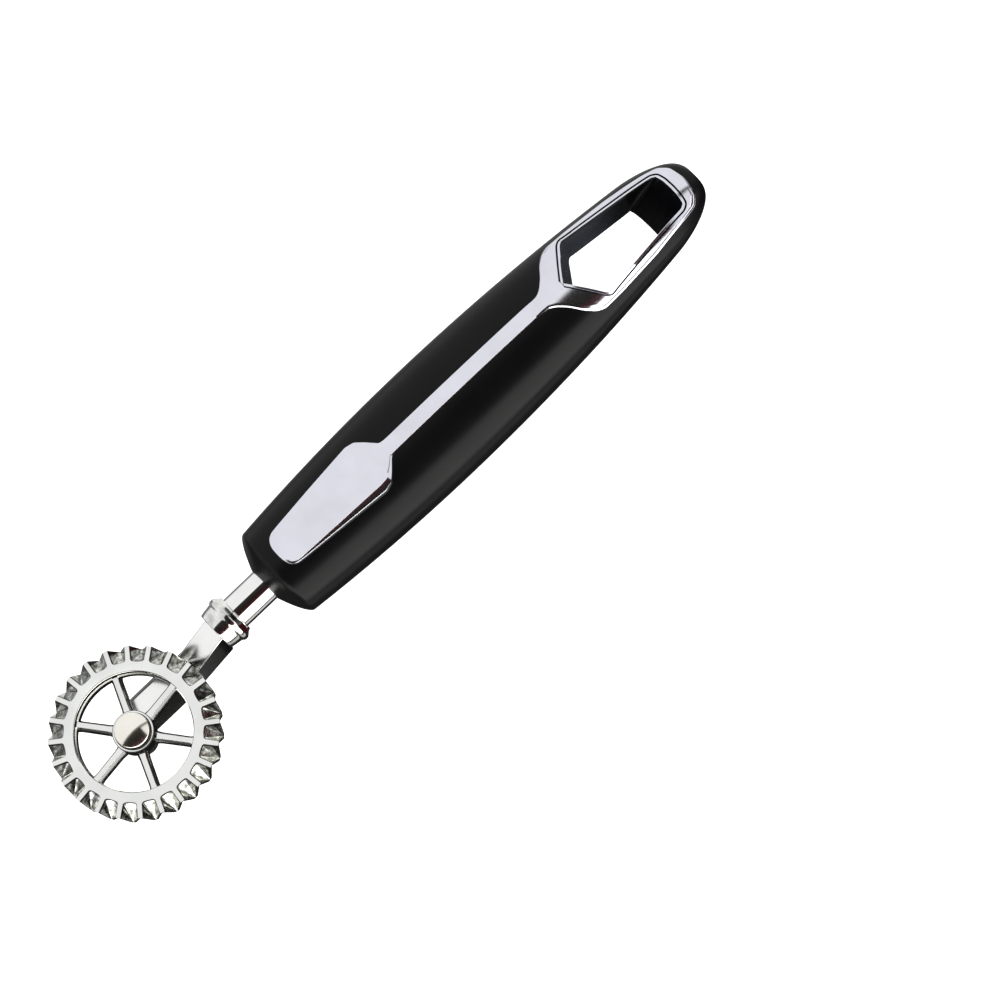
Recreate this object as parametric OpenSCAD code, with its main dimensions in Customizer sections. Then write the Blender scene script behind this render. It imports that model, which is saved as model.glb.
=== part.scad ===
// Pastry cutter wheel: a hand tool with a toothed crimping wheel that spins on a rivet.
// The tool lies on its back: +X runs to the hanging loop, +Z is the side with the chrome trim.
// The origin is under the middle of the whole tool, on the surface it lies on.

/* [Wheel] */
// Radius over the teeth
wheel_r = 20; // [18:0.5:22]
// Radius at the root of the teeth, on the face
root_r = 15.8; // [15.4:0.1:16.4]
// Inner radius of the rim
rim_in_r = 13.9; // [13:0.1:14.4]
// Thickness of the rim
rim_t = 5; // [4:0.25:5.5]
// Teeth on each face
tooth_n = 24; // [20:2:30]
// Spokes
spoke_n = 6; // [5:1:8]
// Radius of the hub
hub_r = 4.9; // [4.5:0.1:5.3]
// Length of the hub along the axle
hub_t = 6; // [5.5:0.25:6.5]

/* [Axle] */
// Radius of the rivet's shank
axle_r = 2; // [1.8:0.1:2.2]
// Running clearance of the hub on the rivet, on the radius
axle_gap = 0.05; // [0.02:0.01:0.1]
// Radius of the domed head
dome_r = 4.2; // [3.8:0.1:4.6]
// Height of the domed head
dome_h = 2.6; // [2.2:0.1:3]

/* [Arm and shank] */
// Thickness of the arm's boss
boss_t = 4.6; // [4:0.2:5.2]
// Radius of the arm's boss
boss_r = 3.6; // [3.4:0.1:4.2]
// Width of the arm's front face
arm_w = 6; // [5.4:0.2:6.6]
// Radius of the rod
rod_r = 4.1; // [3.8:0.1:4.3]
// Radius of the tang inside the handle
tang_r = 3.2; // [2.9:0.1:3.4]
// Largest radius of the collar
collar_r = 6; // [5.6:0.1:6.4]
// Sideways offset of the rod from the axle
side_offset = 4.4; // [4:0.2:5]

/* [Grip] */
// Width of the grip
grip_w = 28.6; // [27:0.2:30]
// Depth of the grip
grip_t = 22.4; // [21.6:0.2:23.2]
// Thickness of the soft skin
skin_t = 2.25; // [2:0.05:2.5]
// Wall of the rigid core
core_t = 2; // [1.6:0.1:2.4]
// Roundness of the grip's cross-section: 2 is an ellipse
round_n = 2.2; // [2:0.05:2.5]

/* [Trim] */
// Width of the bar
bar_w = 3.5; // [3:0.1:4]
// Height of the bar over the grip's crest
bar_rise = 0.35; // [0.2:0.05:0.5]
// Flare of the bar's sides, from top to bottom
flare = 0.5; // [0.3:0.05:0.7]
// Wall of the liner in the hanging hole
liner_t = 1.4; // [1.2:0.1:1.6]

/* [Hidden] */
$fn = 64;
eps = 0.02;
mid_z = grip_t / 2;
axle_x = -80;
// Stack on the axle, from the dome down to the tail
axial_gap = 0.05;
thrust_t = 0.5;
washer_t = 0.8;
tail_t = 1.25;
dome_z = mid_z + hub_t / 2 + axial_gap;
arm_z = mid_z - hub_t / 2 - axial_gap - thrust_t;
boss_z = arm_z - boss_t;
tail_z = boss_z - washer_t - tail_t;
hub_foot_r = 4;
washer_r = 3.4;
tooth_step = 360 / tooth_n;
notch_half = tooth_step * 0.4;
// Collar and rod along X
collar_x0 = -51;
collar_x1 = -44.7;
rod_x0 = -47.9;
tang_x0 = -20;
tang_x1 = 15;
spigot_r = 3.2;
pin_r = 1.25;
pin_len = 17;
pin_x = [-12, 8];
rib_x = [-27, -12, 8, 30, 50];
rib_t = 4;
peg_r = 1.2;
peg_x = [-21, -2, 20, 42];
peg_z = mid_z + 5.2;
// Grip along X
grip_x0 = -35.5;
grip_x1 = 100;
widest_x = 18;
corner_x = -31.2;
tip_x = 85;
core_x1 = 57.4;
dome_flat = 0.38;
// Hanging hole: half outline at the front, from the near apex to the far end
hole_half = [[60.5, 0], [66.5, 8.3], [92, 5.05], [93, 4.3], [93.5, 2.6]];
hole_back_x = 85;
hole_back_y = 5.6;
// Loop of the trim: matching outer and inner points of one half
loop_out = [[54, 0], [55.5, 2.6], [57.6, 4.6], [59.6, 7.35], [61.8, 9.5], [63.4, 10.2], [69, 9.85],
    [80.6, 8.7], [92, 6.9], [95.4, 6.1], [96.9, 3.9], [97.3, 0]];
loop_in = [[60.5, 0], [61.4, 1.2], [62.8, 3.2], [64.7, 5.8], [66, 7.6], [66.8, 8.25], [69, 7.98],
    [80.6, 6.5], [91.9, 5.06], [92.9, 4.3], [93.4, 2.6], [93.5, 0]];
// Plate and bar of the trim: x, half width, rise over the crest, flare of the sides
strip = [[-28.6, 2.4, 0.35, 0.2], [-28.2, 3.6, 0.38, 0.25], [-27.3, 4.3, 0.42, 0.3], [-25, 4.6, 0.5, 0.35],
    [-13.4, 5.05, 0.75, 1], [-1, 5.5, 0.95, 1.6], [1, 5.3, 0.95, 1.3], [2.9, 4.1, 0.8, 0.8], [5.2, 2, 0.6, 0.45],
    [6.8, 1.75, bar_rise, flare], [18, 1.75, bar_rise, flare], [30, 1.75, bar_rise, flare],
    [42, 1.75, bar_rise, flare], [50, 1.75, bar_rise, flare], [56.5, 1.75, bar_rise, flare]];

// Half width and half depth of the grip at x, t below its surface
function near_f(x, t) = x >= corner_x ? 1
    : 1 - (1 - dome_flat) * pow(min(1, (corner_x - x) / (corner_x - grip_x0 - t)), 1.6);
function far_f(x, t) = x <= tip_x ? 1 : pow(max(0.001, 1 - pow((x - tip_x) / (grip_x1 - t - tip_x), 2)), 0.3);
function half_w(x, t = 0) = (grip_w / 2 - (x < widest_x ? 0.001 : 0.00085) * pow(x - widest_x, 2) - t)
    * near_f(x, t) * far_f(x, t);
function half_d(x, t = 0) = (grip_t / 2 - (x < widest_x ? 0.0005 : 0.0009) * pow(x - widest_x, 2) - t)
    * near_f(x, t) * far_f(x, t);
function spow(v) = sign(v) * pow(abs(v), 2 / round_n);
function rim_point(x, a, t) = [x, side_offset + half_w(x, t) * spow(cos(a)), mid_z + half_d(x, t) * spow(sin(a))];
function surf_z(x, y) = mid_z + half_d(x) * pow(max(0, 1 - pow(abs(y) / half_w(x), round_n)), 1 / round_n);
// Stations along the near end, t below the surface, then evenly up to x, and around the far tip
function near_stations(t) = [for (k = [5:-1:0]) corner_x - (corner_x - grip_x0 - t) * k / 5];
function even_stations(x, n) = [for (k = [0:n]) -28 + (x + 28) * k / n];
function tip_stations(t) = [for (s = [0.2, 0.4, 0.57, 0.71, 0.82, 0.9, 0.95, 0.98, 1]) tip_x + (grip_x1 - t - tip_x) * s];
function core_stations(t, x) = concat(near_stations(t), even_stations(x, 12));
function inner_line_z(x) = 16.4 - 0.068 * (x - 59);
function mirrored(half) = concat(half, [for (k = [len(half) - 1:-1:0]) if (half[k][1] > 0) [half[k][0], -half[k][1]]]);

// Closed body of the grip through stations xs, t below its surface
module grip_body(xs, t, n) {
    m = len(xs);
    pts = [for (x = xs) for (k = [0:n - 1]) rim_point(x, k * 360 / n, t)];
    sides = [for (i = [0:m - 2]) for (k = [0:n - 1]) let (a = i * n + k, b = i * n + (k + 1) % n)
        each [[a, b, b + n], [a, b + n, a + n]]];
    ends = [[for (k = [n - 1:-1:0]) k], [for (k = [0:n - 1]) (m - 1) * n + k]];
    polyhedron(points = pts, faces = [for (f = concat(sides, ends)) [for (k = [len(f) - 1:-1:0]) f[k]]]);
}

// Half shell over the parting plane: outer face t0 and inner face t1 below the grip's surface
module half_shell(t0, t1, n = 14) {
    xs0 = core_stations(t0, core_x1);
    xs1 = core_stations(t1, core_x1 - core_t);
    m = len(xs0);
    w = n + 1;
    off = m * w;
    pts = concat([for (x = xs0) for (k = [0:n]) rim_point(x, k * 180 / n, t0)],
        [for (x = xs1) for (k = [0:n]) rim_point(x, k * 180 / n, t1)]);
    outer = [for (i = [0:m - 2]) for (k = [0:n - 1]) let (a = i * w + k)
        each [[a, a + w + 1, a + 1], [a, a + w, a + w + 1]]];
    inner = [for (f = outer) [off + f[0], off + f[2], off + f[1]]];
    caps = [[for (k = [0:n]) k], [for (k = [n:-1:0]) (m - 1) * w + k],
        [for (k = [n:-1:0]) off + k], [for (k = [0:n]) off + (m - 1) * w + k]];
    rims = [for (i = [0:m - 2]) let (a = i * w, b = a + n)
        each [[a, off + a, off + a + w], [a, off + a + w, a + w],
            [b, off + b + w, off + b], [b, b + w, off + b + w]]];
    ends = [[0, n, off + n], [0, off + n, off],
        [off - 1, off - w, 2 * off - w], [off - 1, 2 * off - w, 2 * off - 1]];
    polyhedron(points = pts, faces = concat(outer, inner, caps, rims, ends));
}

// Outline of the hanging hole, grown by g, as a prism through the whole grip
module hole_prism(g) {
    translate([0, side_offset, -5])
        linear_extrude(grip_t + 10)
            offset(delta = g)
                polygon(mirrored(hole_half));
}

// Tongue of the liner that the core's halves clamp
module tongue(g) {
    translate([46 - g, side_offset - 3.5 - g, mid_z - 2 - g]) cube([13.6 + 2 * g, 7 + 2 * g, 4 + 2 * g]);
}

module along_x(x, y = side_offset, z = mid_z) {
    translate([x, y, z]) rotate([0, 90, 0]) children();
}

// Plate and bar, grown by g, with its top lifted by up
module trim_strip(g, up) {
    m = len(strip);
    pts = [for (s = strip) let (x = s[0] + (s == strip[0] ? -g : 0), top = surf_z(s[0], 0) + s[2] + up,
            low = surf_z(s[0], 0) - 1.15 - (s[1] > 2.5 ? 0.5 : 0) - g, w = s[1] + g)
        each [[x, side_offset - w - s[3], low], [x, side_offset + w + s[3], low],
            [x, side_offset + w, top], [x, side_offset - w, top]]];
    sides = [for (i = [0:m - 2]) for (k = [0:3]) let (a = i * 4 + k, b = i * 4 + (k + 1) % 4)
        each [[a, b + 4, b], [a, a + 4, b + 4]]];
    ends = [[0, 1, 2, 3], [for (k = [3:-1:0]) (m - 1) * 4 + k]];
    polyhedron(points = pts, faces = concat(sides, ends));
}

// Loop around the hanging hole, with a skirt that goes down into the hole
module trim_loop(g, up) {
    n = len(loop_out);
    outs = mirrored(loop_out);
    ins = mirrored(loop_in);
    m = len(outs);
    pts = [for (i = [0:m - 1]) let (o = outs[i], q = ins[i], d = norm(o - q), u = (o - q) / d, s = q + 1.1 * u,
            oz = surf_z(o[0], o[1]), sz = surf_z(s[0], s[1]), qz = surf_z(q[0], q[1]), e = o + g * u, f = e + 0.4 * u)
        each [[f[0], f[1] + side_offset, oz - 1.1 - g], [e[0], e[1] + side_offset, oz + bar_rise + up],
            [q[0], q[1] + side_offset, qz + bar_rise + up], [q[0], q[1] + side_offset, inner_line_z(q[0]) + 0.05],
            [s[0], s[1] + side_offset, inner_line_z(s[0]) + 0.05], [s[0], s[1] + side_offset, sz - 1.3 - g]]];
    faces = [for (i = [0:m - 1]) for (k = [0:5]) let (j = (i + 1) % m, a = i * 6 + k, b = i * 6 + (k + 1) % 6,
            c = j * 6 + k, d = j * 6 + (k + 1) % 6)
        each [[a, d, b], [a, c, d]]];
    polyhedron(points = pts, faces = faces);
}

// One tooth notch on the upper face: a pyramid whose floor runs out at the far face
module notch() {
    zt = rim_t / 2 + 0.4;
    tip = [wheel_r + 0.3, 0, -rim_t / 2 + 0.1];
    k = (zt - tip[2]) / (rim_t / 2 - tip[2]);
    function grown(p) = tip + (p - tip) * k;
    function at(r, a) = grown([r * cos(a), r * sin(a), rim_t / 2]);
    root = notch_half * 0.86;
    far = wheel_r + 1.5;
    polyhedron(points = [at(root_r, -root), at(root_r, root), at(far, notch_half), at(far, -notch_half), tip],
        faces = [[0, 1, 2, 3], [1, 0, 4], [2, 1, 4], [3, 2, 4], [0, 3, 4]]);
}

module crimping_wheel() {
    c = 0.35;
    h = rim_t / 2;
    color([0.80, 0.80, 0.79])
    translate([axle_x, 0, mid_z])
    difference() {
        union() {
            difference() {
                rotate_extrude()
                    polygon([[rim_in_r, -h + c], [rim_in_r + c, -h], [wheel_r, -h], [wheel_r, h],
                        [rim_in_r + c, h], [rim_in_r, h - c]]);
                for (k = [0:tooth_n - 1]) {
                    rotate([0, 0, k * tooth_step]) notch();
                    rotate([180, 0, (k + 0.5) * tooth_step]) notch();
                }
            }
            for (k = [0:spoke_n - 1])
                rotate([90, 0, tooth_step / 2 + k * 360 / spoke_n + 90])
                    translate([0, 0, hub_r - 1])
                        linear_extrude(rim_in_r + 0.6 - hub_r + 1)
                            polygon([[-1.2, -1.2], [1.2, -1.2], [1.2, 0.1], [0.5, 1.4], [-0.5, 1.4], [-1.2, 0.1]]);
            translate([0, 0, -1.2]) cylinder(r = hub_r, h = hub_t / 2 + 1.2);
            cylinder(r = hub_foot_r, h = hub_t, center = true);
        }
        cylinder(r = axle_r + axle_gap, h = hub_t + 2, center = true);
    }
}

module axle_rivet() {
    ball_r = (dome_r * dome_r + dome_h * dome_h) / (2 * dome_h);
    color([0.82, 0.79, 0.72])
    translate([axle_x, 0, 0]) {
        intersection() {
            translate([0, 0, dome_z + dome_h - ball_r]) sphere(r = ball_r);
            translate([0, 0, dome_z]) cylinder(r = dome_r + 1, h = dome_h + 1);
        }
        translate([0, 0, tail_z + 0.6]) cylinder(r = axle_r, h = dome_z - tail_z - 0.4);
        translate([0, 0, tail_z])
            rotate_extrude() polygon([[0, 0], [2.1, 0], [2.9, 0.6], [2.9, tail_t], [0, tail_t]]);
    }
}

module thrust_washer() {
    color([0.74, 0.74, 0.72])
    translate([axle_x, 0, arm_z])
    difference() {
        cylinder(r = washer_r, h = thrust_t);
        translate([0, 0, -1]) cylinder(r = axle_r + axle_gap, h = thrust_t + 2);
    }
}

module tail_washer() {
    color([0.74, 0.74, 0.72])
    translate([axle_x, 0, boss_z - washer_t])
    difference() {
        cylinder(r = washer_r, h = washer_t);
        translate([0, 0, -1]) cylinder(r = axle_r + eps, h = washer_t + 2);
    }
}

module wheel_arm() {
    // x, front z, back z, half width at the back
    bar = [[collar_x0, 13.7, 5.2, 4.1], [-61, arm_z, 3.4, 4.6], [-67, arm_z, boss_z, 5.2], [-75, arm_z, boss_z, 5.4]];
    w = arm_w / 2;
    pts = [for (s = bar) each [[s[0], side_offset - s[3], s[2]], [s[0], side_offset + s[3], s[2]],
        [s[0], side_offset + w, s[1]], [s[0], side_offset - w, s[1]]]];
    sides = [for (i = [0:2]) for (k = [0:3]) let (a = i * 4 + k, b = i * 4 + (k + 1) % 4)
        each [[a, b, b + 4], [a, b + 4, a + 4]]];
    color([0.84, 0.84, 0.83])
    difference() {
        union() {
            polyhedron(points = pts, faces = concat(sides, [[3, 2, 1, 0], [12, 13, 14, 15]]));
            translate([axle_x, 0, boss_z])
                linear_extrude(boss_t)
                    hull() {
                        circle(r = boss_r, $fn = 32);
                        translate([5, side_offset]) circle(r = w + 0.6, $fn = 32);
                    }
            along_x(collar_x0 - 0.5) cylinder(r = spigot_r, h = 3);
        }
        translate([axle_x, 0, 0]) cylinder(r = axle_r + eps, h = 20);
    }
}

module collar() {
    color([0.70, 0.71, 0.70])
    along_x(0)
        rotate_extrude()
            polygon([[spigot_r, collar_x0], [5.1, collar_x0], [collar_r, collar_x0 + 3.8], [collar_r, collar_x0 + 4.6],
                [rod_r + 0.8, collar_x1], [rod_r, collar_x1], [rod_r, rod_x0], [spigot_r, rod_x0]]);
}

module shank_rod() {
    color([0.80, 0.81, 0.80])
    difference() {
        along_x(0)
            rotate_extrude()
                polygon(concat([[0, rod_x0 + eps], [rod_r, rod_x0 + eps], [rod_r, tang_x0 - 1], [tang_r, tang_x0]],
                    [for (x = [-6:3.2:2]) each [[tang_r, x], [tang_r - 0.5, x + 0.6], [tang_r, x + 1.2]]],
                    [[tang_r, tang_x1 - 0.8], [tang_r - 0.8, tang_x1], [0, tang_x1]]));
        for (x = pin_x)
            translate([x, side_offset, mid_z]) rotate([90, 0, 0]) cylinder(r = pin_r, h = 20, center = true);
    }
}

module tang_pins() {
    color([0.62, 0.62, 0.60])
    for (x = pin_x)
        translate([x, side_offset, mid_z]) rotate([90, 0, 0]) cylinder(r = pin_r, h = pin_len, center = true);
}

// Half disc rib that carries the tang, over the parting plane
module rib(x) {
    a = half_w(x, skin_t + core_t / 2);
    b = half_d(x, skin_t + core_t / 2);
    translate([x - rib_t / 2, side_offset, mid_z])
        rotate([90, 0, 90])
            linear_extrude(rib_t)
                polygon([for (k = [0:18]) [a * spow(cos(k * 10)), b * spow(sin(k * 10))]]);
}

module core_half() {
    difference() {
        union() {
            half_shell(skin_t + 0.04, skin_t + core_t);
            for (x = rib_x) rib(x);
        }
        along_x(-40) cylinder(r = rod_r + eps, h = 40 + tang_x0 + eps);
        along_x(-40) cylinder(r = tang_r + eps, h = 40 + tang_x1 + 0.5);
        for (x = pin_x)
            translate([x, side_offset, mid_z]) rotate([90, 0, 0]) cylinder(r = pin_r, h = pin_len + 0.2, center = true);
        tongue(0.05);
    }
}

module core_front() {
    color([0.16, 0.16, 0.17])
    difference() {
        core_half();
        for (x = peg_x) translate([x, side_offset, peg_z - 1]) cylinder(r = peg_r, h = 20);
    }
}

module core_back() {
    color([0.16, 0.16, 0.17])
    translate([0, 0, 2 * mid_z]) mirror([0, 0, 1]) core_half();
}

module grip_cover() {
    color([0.10, 0.10, 0.11])
    difference() {
        grip_body(concat(near_stations(0), even_stations(tip_x - 2, 15), tip_stations(0)), 0, 36);
        grip_body(core_stations(skin_t, core_x1 + 0.04), skin_t, 28);
        along_x(-40) cylinder(r = rod_r + eps, h = 9);
        tongue(0.05);
        hole_prism(liner_t + 0.03);
        trim_strip(0.04, 3);
        trim_loop(0.04, 3);
        for (x = peg_x) translate([x, side_offset, peg_z]) cylinder(r = peg_r, h = 20);
    }
}

module hang_liner() {
    low_z = 4.8;
    color([0.14, 0.15, 0.18])
    difference() {
        union() {
            intersection() {
                hole_prism(liner_t);
                translate([0, side_offset + 15, 0])
                    rotate([90, 0, 0])
                        linear_extrude(30)
                            polygon([[55, low_z], [98, low_z], [98, inner_line_z(98)], [55, inner_line_z(55)]]);
            }
            tongue(0);
        }
        translate([0, side_offset, 0])
            hull() {
                translate([0, 0, 18]) linear_extrude(0.1) polygon(mirrored(hole_half));
                translate([0, 0, 3]) linear_extrude(0.1)
                    polygon([[60.5, 0], [66.5, 8.3], [hole_back_x, hole_back_y],
                        [hole_back_x, -hole_back_y], [66.5, -8.3]]);
            }
    }
}

module arrow_trim() {
    color([0.84, 0.84, 0.88])
    union() {
        trim_strip(0, 0);
        trim_loop(0, 0);
        for (x = peg_x)
            translate([x, side_offset, peg_z]) cylinder(r = peg_r - eps, h = surf_z(x, 0) - 0.4 - peg_z);
    }
}

crimping_wheel();
axle_rivet();
thrust_washer();
tail_washer();
wheel_arm();
collar();
shank_rod();
tang_pins();
core_front();
core_back();
grip_cover();
hang_liner();
arrow_trim();
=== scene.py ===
import math

import bmesh
import bpy
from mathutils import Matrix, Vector

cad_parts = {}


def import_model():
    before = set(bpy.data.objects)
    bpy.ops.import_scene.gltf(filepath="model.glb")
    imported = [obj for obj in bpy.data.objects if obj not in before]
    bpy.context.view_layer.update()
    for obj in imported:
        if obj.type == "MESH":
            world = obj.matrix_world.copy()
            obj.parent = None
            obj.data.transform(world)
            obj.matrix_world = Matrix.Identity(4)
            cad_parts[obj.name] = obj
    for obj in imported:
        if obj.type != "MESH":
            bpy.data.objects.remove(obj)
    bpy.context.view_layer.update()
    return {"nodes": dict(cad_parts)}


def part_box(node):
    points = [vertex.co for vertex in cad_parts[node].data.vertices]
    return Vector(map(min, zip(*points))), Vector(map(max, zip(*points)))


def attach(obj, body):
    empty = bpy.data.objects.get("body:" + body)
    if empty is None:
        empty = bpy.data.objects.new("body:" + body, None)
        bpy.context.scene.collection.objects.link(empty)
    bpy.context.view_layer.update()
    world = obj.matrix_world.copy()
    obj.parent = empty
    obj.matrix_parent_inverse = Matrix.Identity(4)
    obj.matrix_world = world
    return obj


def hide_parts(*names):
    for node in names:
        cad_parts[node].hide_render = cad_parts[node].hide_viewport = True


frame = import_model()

MM = 0.001
TOOL = "tool_body"
WHEEL = "wheel"


def box_mm(node):
    low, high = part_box(node)
    return Vector(low) / MM, Vector(high) / MM


# ---------------------------------------------------------------- driving sizes, read from the frame
grip_low, grip_high = box_mm("grip_cover")
wheel_low, wheel_high = box_mm("crimping_wheel")
rod_low, rod_high = box_mm("shank_rod")
arm_low, _ = box_mm("wheel_arm")
rivet_low, rivet_high = box_mm("axle_rivet")
GRIP_W = grip_high.y - grip_low.y
GRIP_T = grip_high.z - grip_low.z
GRIP_X0 = grip_low.x
GRIP_X1 = grip_high.x
SIDE = (rod_low.y + rod_high.y) / 2
MID_Z = (rod_low.z + rod_high.z) / 2
ROD_R = (rod_high.z - rod_low.z) / 2
TANG_R = 3.2
AXLE = (wheel_low + wheel_high) / 2
WHEEL_R = (wheel_high.x - wheel_low.x) / 2

# ---------------------------------------------------------------- the grip's surface
WIDEST_X = 18
CORNER_X = -31.2        # the rounded near end starts here
TIP_X = 85              # and the far end here
DOME_FLAT = 0.38        # share of the section left at the flat of the near end
NEAR_POWER = 1.6
FAR_POWER = 0.3
ROUND_N = 2.2           # power of the section's superellipse
# fall of the half width with distance squared, before and after the widest place, and of the half depth
WIDTH_FALL = (0.001, 0.00085)
DEPTH_FALL = (0.0005, 0.0009)


def near_f(x):
    """Share of the full section left in the rounding of the near end."""
    if x >= CORNER_X:
        return 1
    s = min(1, (CORNER_X - x) / (CORNER_X - GRIP_X0))
    return 1 - (1 - DOME_FLAT) * s ** NEAR_POWER


def far_f(x):
    """The same for the far end."""
    return 1 if x <= TIP_X else max(0.001, 1 - ((x - TIP_X) / (GRIP_X1 - TIP_X)) ** 2) ** FAR_POWER


def half_w(x):
    fall = WIDTH_FALL[0] if x < WIDEST_X else WIDTH_FALL[1]
    return (GRIP_W / 2 - fall * (x - WIDEST_X) ** 2) * near_f(x) * far_f(x)


def half_d(x):
    fall = DEPTH_FALL[0] if x < WIDEST_X else DEPTH_FALL[1]
    return (GRIP_T / 2 - fall * (x - WIDEST_X) ** 2) * near_f(x) * far_f(x)


def rise(x, y):
    """Height of the grip's surface over its middle plane; y is measured from the grip's own axis."""
    return half_d(x) * max(0, 1 - (abs(y) / half_w(x)) ** ROUND_N) ** (1 / ROUND_N)


# ---------------------------------------------------------------- mesh helpers
def smoothstep(x, low, high):
    t = min(1, max(0, (x - low) / (high - low)))
    return t * t * (3 - 2 * t)


def make(name, verts, faces, body, replaces=(), slot=None, mats=(), sharp=35, merge=0.004, tints=None):
    """A mesh object from points in millimetres, shaded smooth with its sharp edges kept.

    tints gives each face the number of its material in mats.
    """
    bm = bmesh.new()
    points = [bm.verts.new(Vector(v) * MM) for v in verts]
    for f, tint in zip(faces, tints or [0] * len(faces)):
        if len(set(f)) > 2:
            try:
                bm.faces.new([points[i] for i in f]).material_index = tint
            except ValueError:
                pass
    bmesh.ops.remove_doubles(bm, verts=bm.verts, dist=merge * MM)
    bmesh.ops.dissolve_degenerate(bm, edges=bm.edges, dist=merge * MM / 2)
    bmesh.ops.recalc_face_normals(bm, faces=bm.faces)
    for f in bm.faces:
        f.smooth = True
    for e in bm.edges:
        if len(e.link_faces) == 2 and e.calc_face_angle(0) > math.radians(sharp):
            e.smooth = False
    mesh = bpy.data.meshes.new(name)
    bm.to_mesh(mesh)
    bm.free()
    obj = bpy.data.objects.new(name, mesh)
    bpy.context.scene.collection.objects.link(obj)
    for m in mats:
        mesh.materials.append(m)
    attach(obj, body)
    if replaces:
        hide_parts(*replaces)
    return obj


def bevel(obj, width, segments=2, angle=28):
    mod = obj.modifiers.new("edge", "BEVEL")
    mod.width = width * MM
    mod.segments = segments
    mod.limit_method = "ANGLE"
    mod.angle_limit = math.radians(angle)
    mod.use_clamp_overlap = True
    weighted = obj.modifiers.new("normals", "WEIGHTED_NORMAL")
    weighted.keep_sharp = False
    weighted.weight = 80


def fillet(profile, radius, steps=4):
    """The same outline with each inner corner rounded."""
    out = [profile[0]]
    for a, b, c in zip(profile, profile[1:], profile[2:]):
        a, b, c = Vector(a), Vector(b), Vector(c)
        cut = min(radius, (a - b).length * 0.45, (c - b).length * 0.45)
        p, q = b + (a - b).normalized() * cut, b + (c - b).normalized() * cut
        for k in range(steps + 1):
            t = k / steps
            out.append(tuple(p * (1 - t) ** 2 + b * 2 * t * (1 - t) + q * t * t))
    out.append(profile[-1])
    return out


def lathe(profile, place, segments=96):
    """Vertices and faces of (along, radius) turned about an axis; place() gives the point."""
    n = segments
    turns = [(math.cos(k * math.tau / n), math.sin(k * math.tau / n)) for k in range(n)]
    verts = [place(a, r * c, r * s) for a, r in profile for c, s in turns]
    faces = [(i * n + k, i * n + (k + 1) % n, (i + 1) * n + (k + 1) % n, (i + 1) * n + k)
             for i in range(len(profile) - 1) for k in range(n)]
    if profile[0][1] > 0.01:
        faces.append(tuple(range(n)))
    if profile[-1][1] > 0.01:
        faces.append(tuple((len(profile) - 1) * n + k for k in range(n)))
    return verts, faces


def ring_lathe(profile, place, segments=96):
    """As lathe, for a closed outline that doesn't reach the axis, such as a washer."""
    verts, faces = lathe(profile, place, segments)
    n = segments
    last = len(profile) - 1
    faces = faces[:last * n]
    faces += [(last * n + k, last * n + (k + 1) % n, (k + 1) % n, k) for k in range(n)]
    return verts, faces


def on_rod(a, across, up):
    return a, SIDE + across, MID_Z + up


def on_axle(a, across, up):
    return AXLE.x + across, AXLE.y + up, a


def joined(parts):
    """One list of vertices and one of faces from several."""
    verts, faces = [], []
    for v, f in parts:
        base = len(verts)
        verts += v
        faces += [tuple(base + i for i in face) for face in f]
    return verts, faces


# ---------------------------------------------------------------- materials
def material(name):
    mat = bpy.data.materials.new(name)
    mat.use_nodes = True
    nodes, links = mat.node_tree.nodes, mat.node_tree.links
    shader = nodes["Principled BSDF"]
    coords = nodes.new("ShaderNodeTexCoord").outputs["Object"]
    return mat, nodes, links, shader, coords


def noise_node(nodes, links, coords, scale, detail=3, rough=0.55, stretch=None):
    tex = nodes.new("ShaderNodeTexNoise")
    tex.inputs["Scale"].default_value = scale
    tex.inputs["Detail"].default_value = detail
    tex.inputs["Roughness"].default_value = rough
    if stretch:
        mapping = nodes.new("ShaderNodeMapping")
        mapping.inputs["Scale"].default_value = stretch
        links.new(coords, mapping.inputs["Vector"])
        coords = mapping.outputs["Vector"]
    links.new(coords, tex.inputs["Vector"])
    return tex.outputs["Fac"]


def ramp_node(nodes, links, fac, low, high, pos=(0.3, 0.7)):
    ramp = nodes.new("ShaderNodeValToRGB")
    ramp.color_ramp.elements[0].position = pos[0]
    ramp.color_ramp.elements[1].position = pos[1]
    ramp.color_ramp.elements[0].color = (*low, 1)
    ramp.color_ramp.elements[1].color = (*high, 1)
    links.new(fac, ramp.inputs["Fac"])
    return ramp.outputs["Color"]


def range_node(nodes, links, fac, low, high):
    span = nodes.new("ShaderNodeMapRange")
    span.inputs["From Min"].default_value = 0.3
    span.inputs["From Max"].default_value = 0.7
    span.inputs["To Min"].default_value = low
    span.inputs["To Max"].default_value = high
    links.new(fac, span.inputs["Value"])
    return span.outputs["Result"]


def bump_node(nodes, links, shader, heights):
    """Bumps stacked one on another: (height, strength, depth in mm)."""
    normal = None
    for height, strength, depth in heights:
        bump = nodes.new("ShaderNodeBump")
        bump.inputs["Strength"].default_value = strength
        bump.inputs["Distance"].default_value = depth * MM
        links.new(height, bump.inputs["Height"])
        if normal:
            links.new(normal, bump.inputs["Normal"])
        normal = bump.outputs["Normal"]
    links.new(normal, shader.inputs["Normal"])


def chrome(name, low, high, rough=(0.05, 0.12), grain=0.012, wave=0.02, stretch=None, patch=140):
    """Chrome plate: slow tone changes, fine hairlines and the slight waviness of a casting."""
    mat, nodes, links, shader, coords = material(name)
    shader.inputs["Metallic"].default_value = 1
    tone = noise_node(nodes, links, coords, patch, 2)
    links.new(ramp_node(nodes, links, tone, low, high), shader.inputs["Base Color"])
    hair = noise_node(nodes, links, coords, 2600, 4, 0.6, stretch)
    links.new(range_node(nodes, links, hair, *rough), shader.inputs["Roughness"])
    slow = noise_node(nodes, links, coords, 260, 1)
    bump_node(nodes, links, shader, [(slow, wave, 0.4), (hair, grain, 0.05)])
    return mat


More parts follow.
